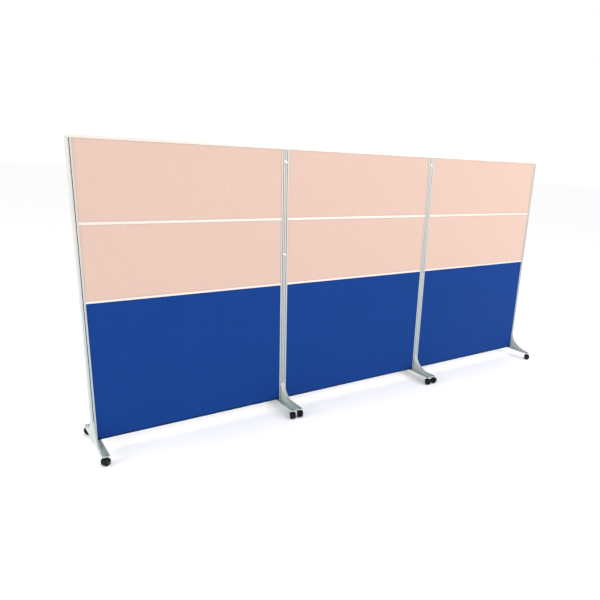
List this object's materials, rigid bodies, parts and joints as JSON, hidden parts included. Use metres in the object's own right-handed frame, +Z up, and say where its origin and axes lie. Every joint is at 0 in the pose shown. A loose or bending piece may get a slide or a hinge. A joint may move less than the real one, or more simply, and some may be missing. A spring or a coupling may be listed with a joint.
{
  "type": "mobile partition wall",
  "caption": "Free-standing partition wall of framed fabric panels in a row, joined by hook links, on cast feet with twin-wheel swivel casters.",
  "frame": {"origin": "on the floor, under the middle of the wall: the bottom centre of the bounding box", "axes": "+Z up, +X along the wall to the right as seen from the front, +Y through the wall from the front to the rear"},
  "size_m": [3.6715, 0.492, 1.721],
  "materials": {
    "frame": "satin anodised extrusion",
    "feet": "silver-grey painted casting",
    "links": "bright stamped plate",
    "blue_fabric": "woven polyester, royal blue",
    "peach_fabric": "woven polyester, pale peach",
    "caster_hood": "black moulded nylon",
    "caster_tyre": "black hard rubber tread"
  },
  "bodies": {
    "wall": {"panel_1_left_stile": "frame", "panel_1_right_stile": "frame", "panel_1_top_rail": "frame", "panel_1_middle_rail": "frame", "panel_1_lower_rail": "frame", "panel_1_bottom_rail": "frame", "panel_1_lower_board": "blue_fabric", "panel_1_middle_board": "peach_fabric", "panel_1_upper_board": "peach_fabric", "panel_1_left_foot": "feet", "panel_1_right_foot": "feet", "panel_2_left_stile": "frame", "panel_2_right_stile": "frame", "panel_2_top_rail": "frame", "panel_2_middle_rail": "frame", "panel_2_lower_rail": "frame", "panel_2_bottom_rail": "frame", "panel_2_lower_board": "blue_fabric", "panel_2_middle_board": "peach_fabric", "panel_2_upper_board": "peach_fabric", "panel_2_left_foot": "feet", "panel_2_right_foot": "feet", "panel_3_left_stile": "frame", "panel_3_right_stile": "frame", "panel_3_top_rail": "frame", "panel_3_middle_rail": "frame", "panel_3_lower_rail": "frame", "panel_3_bottom_rail": "frame", "panel_3_lower_board": "blue_fabric", "panel_3_middle_board": "peach_fabric", "panel_3_upper_board": "peach_fabric", "panel_3_left_foot": "feet", "panel_3_right_foot": "feet"},
    "caster_1_left_front": {"caster_1_left_front_hood": "caster_hood"},
    "caster_1_left_front_wheel_set": {"caster_1_left_front_wheel": "caster_tyre"},
    "caster_1_left_rear": {"caster_1_left_rear_hood": "caster_hood"},
    "caster_1_left_rear_wheel_set": {"caster_1_left_rear_wheel": "caster_tyre"},
    "caster_1_right_front": {"caster_1_right_front_hood": "caster_hood"},
    "caster_1_right_front_wheel_set": {"caster_1_right_front_wheel": "caster_tyre"},
    "caster_1_right_rear": {"caster_1_right_rear_hood": "caster_hood"},
    "caster_1_right_rear_wheel_set": {"caster_1_right_rear_wheel": "caster_tyre"},
    "caster_2_left_front": {"caster_2_left_front_hood": "caster_hood"},
    "caster_2_left_front_wheel_set": {"caster_2_left_front_wheel": "caster_tyre"},
    "caster_2_left_rear": {"caster_2_left_rear_hood": "caster_hood"},
    "caster_2_left_rear_wheel_set": {"caster_2_left_rear_wheel": "caster_tyre"},
    "caster_2_right_front": {"caster_2_right_front_hood": "caster_hood"},
    "caster_2_right_front_wheel_set": {"caster_2_right_front_wheel": "caster_tyre"},
    "caster_2_right_rear": {"caster_2_right_rear_hood": "caster_hood"},
    "caster_2_right_rear_wheel_set": {"caster_2_right_rear_wheel": "caster_tyre"},
    "caster_3_left_front": {"caster_3_left_front_hood": "caster_hood"},
    "caster_3_left_front_wheel_set": {"caster_3_left_front_wheel": "caster_tyre"},
    "caster_3_left_rear": {"caster_3_left_rear_hood": "caster_hood"},
    "caster_3_left_rear_wheel_set": {"caster_3_left_rear_wheel": "caster_tyre"},
    "caster_3_right_front": {"caster_3_right_front_hood": "caster_hood"},
    "caster_3_right_front_wheel_set": {"caster_3_right_front_wheel": "caster_tyre"},
    "caster_3_right_rear": {"caster_3_right_rear_hood": "caster_hood"},
    "caster_3_right_rear_wheel_set": {"caster_3_right_rear_wheel": "caster_tyre"},
    "link_1_1": {"link_1_1": "links"},
    "link_1_2": {"link_1_2": "links"},
    "link_2_1": {"link_2_1": "links"}
  },
  "joints": [
    {"name": "caster_1_left_front_swivel", "type": "hinge", "parent": "wall", "child": "caster_1_left_front", "pos_m": [-1.802, -0.211, 0.05], "axis": [0, 0, 1], "continuous": true},
    {"name": "caster_1_left_front_spin", "type": "hinge", "parent": "caster_1_left_front", "child": "caster_1_left_front_wheel_set", "pos_m": [-1.81019, -0.21674, 0.0205], "axis": [0.5736, -0.8192, 0], "continuous": true},
    {"name": "caster_1_left_rear_swivel", "type": "hinge", "parent": "wall", "child": "caster_1_left_rear", "pos_m": [-1.802, 0.211, 0.05], "axis": [0, 0, 1], "continuous": true},
    {"name": "caster_1_left_rear_spin", "type": "hinge", "parent": "caster_1_left_rear", "child": "caster_1_left_rear_wheel_set", "pos_m": [-1.812, 0.211, 0.0205], "axis": [0, -1, 0], "continuous": true},
    {"name": "caster_1_right_front_swivel", "type": "hinge", "parent": "wall", "child": "caster_1_right_front", "pos_m": [-0.638, -0.211, 0.05], "axis": [0, 0, 1], "continuous": true},
    {"name": "caster_1_right_front_spin", "type": "hinge", "parent": "caster_1_right_front", "child": "caster_1_right_front_wheel_set", "pos_m": [-0.64042, -0.2207, 0.0205], "axis": [0.9703, -0.2419, 0], "continuous": true},
    {"name": "caster_1_right_rear_swivel", "type": "hinge", "parent": "wall", "child": "caster_1_right_rear", "pos_m": [-0.638, 0.211, 0.05], "axis": [0, 0, 1], "continuous": true},
    {"name": "caster_1_right_rear_spin", "type": "hinge", "parent": "caster_1_right_rear", "child": "caster_1_right_rear_wheel_set", "pos_m": [-0.64042, 0.2207, 0.0205], "axis": [-0.9703, -0.2419, 0], "continuous": true},
    {"name": "caster_2_left_front_swivel", "type": "hinge", "parent": "wall", "child": "caster_2_left_front", "pos_m": [-0.582, -0.211, 0.05], "axis": [0, 0, 1], "continuous": true},
    {"name": "caster_2_left_front_spin", "type": "hinge", "parent": "caster_2_left_front", "child": "caster_2_left_front_wheel_set", "pos_m": [-0.58442, -0.2207, 0.0205], "axis": [0.9703, -0.2419, 0], "continuous": true},
    {"name": "caster_2_left_rear_swivel", "type": "hinge", "parent": "wall", "child": "caster_2_left_rear", "pos_m": [-0.582, 0.211, 0.05], "axis": [0, 0, 1], "continuous": true},
    {"name": "caster_2_left_rear_spin", "type": "hinge", "parent": "caster_2_left_rear", "child": "caster_2_left_rear_wheel_set", "pos_m": [-0.58442, 0.2207, 0.0205], "axis": [-0.9703, -0.2419, 0], "continuous": true},
    {"name": "caster_2_right_front_swivel", "type": "hinge", "parent": "wall", "child": "caster_2_right_front", "pos_m": [0.582, -0.211, 0.05], "axis": [0, 0, 1], "continuous": true},
    {"name": "caster_2_right_front_spin", "type": "hinge", "parent": "caster_2_right_front", "child": "caster_2_right_front_wheel_set", "pos_m": [0.57858, -0.2204, 0.0205], "axis": [0.9397, -0.342, 0], "continuous": true},
    {"name": "caster_2_right_rear_swivel", "type": "hinge", "parent": "wall", "child": "caster_2_right_rear", "pos_m": [0.582, 0.211, 0.05], "axis": [0, 0, 1], "continuous": true},
    {"name": "caster_2_right_rear_spin", "type": "hinge", "parent": "caster_2_right_rear", "child": "caster_2_right_rear_wheel_set", "pos_m": [0.57858, 0.2204, 0.0205], "axis": [-0.9397, -0.342, 0], "continuous": true},
    {"name": "caster_3_left_front_swivel", "type": "hinge", "parent": "wall", "child": "caster_3_left_front", "pos_m": [0.638, -0.211, 0.05], "axis": [0, 0, 1], "continuous": true},
    {"name": "caster_3_left_front_spin", "type": "hinge", "parent": "caster_3_left_front", "child": "caster_3_left_front_wheel_set", "pos_m": [0.64142, -0.2204, 0.0205], "axis": [0.9397, 0.342, 0], "continuous": true},
    {"name": "caster_3_left_rear_swivel", "type": "hinge", "parent": "wall", "child": "caster_3_left_rear", "pos_m": [0.638, 0.211, 0.05], "axis": [0, 0, 1], "continuous": true},
    {"name": "caster_3_left_rear_spin", "type": "hinge", "parent": "caster_3_left_rear", "child": "caster_3_left_rear_wheel_set", "pos_m": [0.64142, 0.2204, 0.0205], "axis": [-0.9397, 0.342, 0], "continuous": true},
    {"name": "caster_3_right_front_swivel", "type": "hinge", "parent": "wall", "child": "caster_3_right_front", "pos_m": [1.802, -0.211, 0.05], "axis": [0, 0, 1], "continuous": true},
    {"name": "caster_3_right_front_spin", "type": "hinge", "parent": "caster_3_right_front", "child": "caster_3_right_front_wheel_set", "pos_m": [1.80774, -0.21919, 0.0205], "axis": [0.8192, 0.5736, 0], "continuous": true},
    {"name": "caster_3_right_rear_swivel", "type": "hinge", "parent": "wall", "child": "caster_3_right_rear", "pos_m": [1.802, 0.211, 0.05], "axis": [0, 0, 1], "continuous": true},
    {"name": "caster_3_right_rear_spin", "type": "hinge", "parent": "caster_3_right_rear", "child": "caster_3_right_rear_wheel_set", "pos_m": [1.812, 0.211, 0.0205], "axis": [0, 1, 0], "continuous": true},
    {"name": "link_1_1_lift", "type": "hinge", "parent": "wall", "child": "link_1_1", "pos_m": [-0.617, -0.0253, 1.636], "axis": [0, -1, 0], "range_deg": [0, 100]},
    {"name": "link_1_2_lift", "type": "hinge", "parent": "wall", "child": "link_1_2", "pos_m": [-0.617, -0.0253, 1.068], "axis": [0, -1, 0], "range_deg": [0, 100]},
    {"name": "link_2_1_lift", "type": "hinge", "parent": "wall", "child": "link_2_1", "pos_m": [0.603, -0.0253, 1.651], "axis": [0, -1, 0], "range_deg": [0, 100]}
  ]
}
